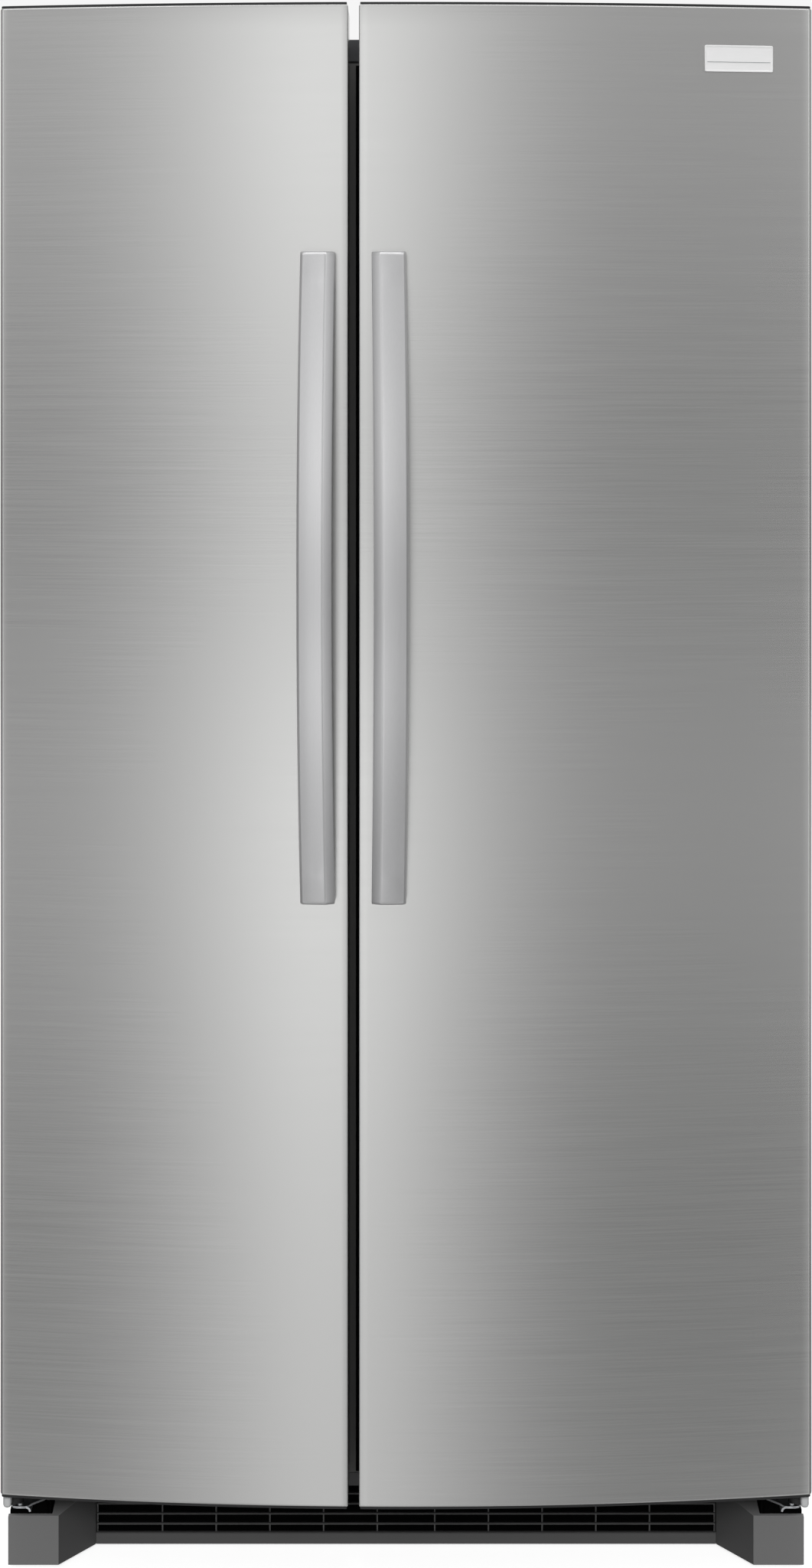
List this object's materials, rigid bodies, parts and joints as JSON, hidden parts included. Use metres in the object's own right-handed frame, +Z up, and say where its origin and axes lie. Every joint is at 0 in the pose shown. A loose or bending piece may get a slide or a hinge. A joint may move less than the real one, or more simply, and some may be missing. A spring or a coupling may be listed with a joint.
{
  "type": "side by side refrigerator",
  "caption": "Free-standing side-by-side refrigerator with bowed stainless doors, arched pull handles, a toe grille and a fitted freezer and fresh-food interior.",
  "frame": {"origin": "on the floor, under the centre of the overall width and depth", "axes": "+X to the right as seen from the front, +Y to the back, +Z up; the doors and handles face -Y"},
  "size_m": [0.9144, 0.872, 1.779],
  "materials": {
    "stainless": "brushed",
    "handle_metal": "satin",
    "cabinet_paint": "satin",
    "dark_trim": "matte",
    "grey_plastic": "matte",
    "plinth_plastic": "matte",
    "white_plastic": "gloss",
    "clear_plastic": "gloss",
    "shelf_glass": "gloss",
    "gasket_rubber": "matte",
    "foam": "matte",
    "zinc_steel": "satin",
    "black_steel": "satin",
    "plate_aluminium": "satin"
  },
  "bodies": {
    "cabinet": {"side_panel_left": "cabinet_paint", "side_panel_right": "cabinet_paint", "top_panel": "cabinet_paint", "back_panel": "zinc_steel", "mullion_strip": "dark_trim", "freezer_liner": "white_plastic", "fresh_food_liner": "white_plastic", "insulation_foam": "foam", "base_frame": "black_steel", "toe_grille": "plinth_plastic", "leg_cover_left": "grey_plastic", "leg_cover_right": "grey_plastic", "upper_hinge_left": "zinc_steel", "upper_hinge_right": "zinc_steel", "hinge_cover_left": "dark_trim", "hinge_cover_right": "dark_trim", "lower_hinge_left": "zinc_steel", "lower_hinge_right": "zinc_steel", "machine_cover": "zinc_steel", "compressor": "black_steel", "condenser_coil": "black_steel", "condenser_fan_shroud": "black_steel", "evaporator_cover": "white_plastic", "freezer_shelf_lower": "white_plastic", "freezer_shelf_upper": "white_plastic", "ice_maker": "white_plastic", "crisper_shelf": "shelf_glass", "glass_shelf_lower": "shelf_glass", "glass_shelf_upper": "shelf_glass", "control_housing": "white_plastic"},
    "freezer_door": {"freezer_door_skin": "stainless", "freezer_door_foam": "foam", "freezer_door_liner": "white_plastic", "freezer_door_gasket": "gasket_rubber", "freezer_door_handle": "handle_metal", "freezer_bin_lower": "clear_plastic", "freezer_bin_middle": "clear_plastic", "freezer_bin_upper": "clear_plastic"},
    "fresh_food_door": {"fresh_door_skin": "stainless", "fresh_door_foam": "foam", "fresh_door_liner": "white_plastic", "fresh_door_gasket": "gasket_rubber", "fresh_door_handle": "handle_metal", "fresh_bin_lower": "clear_plastic", "fresh_bin_middle": "clear_plastic", "fresh_bin_upper": "clear_plastic", "dairy_box": "clear_plastic", "nameplate": "plate_aluminium"},
    "dairy_flap": {"dairy_flap": "clear_plastic"},
    "ice_bin": {"ice_bin": "clear_plastic"},
    "freezer_basket": {"freezer_basket": "clear_plastic"},
    "crisper_upper": {"crisper_upper": "clear_plastic"},
    "crisper_lower": {"crisper_lower": "clear_plastic"},
    "temperature_knob": {"temperature_knob": "grey_plastic"},
    "condenser_fan": {"condenser_fan_blade": "dark_trim"},
    "evaporator_fan": {"evaporator_fan_blade": "dark_trim"},
    "levelling_leg_left": {"levelling_leg_left": "zinc_steel"},
    "levelling_leg_right": {"levelling_leg_right": "zinc_steel"},
    "rear_roller_left": {"rear_roller_left": "white_plastic"},
    "rear_roller_right": {"rear_roller_right": "white_plastic"}
  },
  "joints": [
    {"name": "freezer_door_hinge", "type": "hinge", "parent": "cabinet", "child": "freezer_door", "pos_m": [-0.445, -0.305, 0.1], "axis": [0, 0, -1], "range_deg": [0, 125]},
    {"name": "fresh_food_door_hinge", "type": "hinge", "parent": "cabinet", "child": "fresh_food_door", "pos_m": [0.445, -0.305, 0.1], "axis": [0, 0, 1], "range_deg": [0, 125]},
    {"name": "dairy_flap_hinge", "type": "hinge", "parent": "fresh_food_door", "child": "dairy_flap", "pos_m": [0.195, -0.16525, 1.6105], "axis": [1, 0, 0], "range_deg": [0, 85]},
    {"name": "ice_bin_slide", "type": "slide", "parent": "cabinet", "child": "ice_bin", "axis": [0, -1, 0], "range_m": [0, 0.13]},
    {"name": "freezer_basket_slide", "type": "slide", "parent": "cabinet", "child": "freezer_basket", "axis": [0, -1, 0], "range_m": [0, 0.13]},
    {"name": "crisper_upper_slide", "type": "slide", "parent": "cabinet", "child": "crisper_upper", "axis": [0, -1, 0], "range_m": [0, 0.13]},
    {"name": "crisper_lower_slide", "type": "slide", "parent": "cabinet", "child": "crisper_lower", "axis": [0, -1, 0], "range_m": [0, 0.13]},
    {"name": "temperature_knob_turn", "type": "hinge", "parent": "cabinet", "child": "temperature_knob", "pos_m": [0.3, -0.1404, 1.672], "axis": [0, 1, 0], "range_deg": [0, 270]},
    {"name": "condenser_fan_spin", "type": "hinge", "parent": "cabinet", "child": "condenser_fan", "pos_m": [0.063, 0.315, 0.155], "axis": [1, 0, 0], "continuous": true},
    {"name": "evaporator_fan_spin", "type": "hinge", "parent": "cabinet", "child": "evaporator_fan", "pos_m": [-0.2455, 0.297, 1.18], "axis": [0, 1, 0], "continuous": true},
    {"name": "levelling_leg_left_turn", "type": "hinge", "parent": "cabinet", "child": "levelling_leg_left", "pos_m": [-0.426, -0.252, 0], "axis": [0, 0, 1], "continuous": true},
    {"name": "levelling_leg_right_turn", "type": "hinge", "parent": "cabinet", "child": "levelling_leg_right", "pos_m": [0.426, -0.252, 0], "axis": [0, 0, 1], "continuous": true},
    {"name": "rear_roller_left_spin", "type": "hinge", "parent": "cabinet", "child": "rear_roller_left", "pos_m": [-0.405, 0.38, 0.022], "axis": [1, 0, 0], "continuous": true},
    {"name": "rear_roller_right_spin", "type": "hinge", "parent": "cabinet", "child": "rear_roller_right", "pos_m": [0.405, 0.38, 0.022], "axis": [1, 0, 0], "continuous": true}
  ]
}
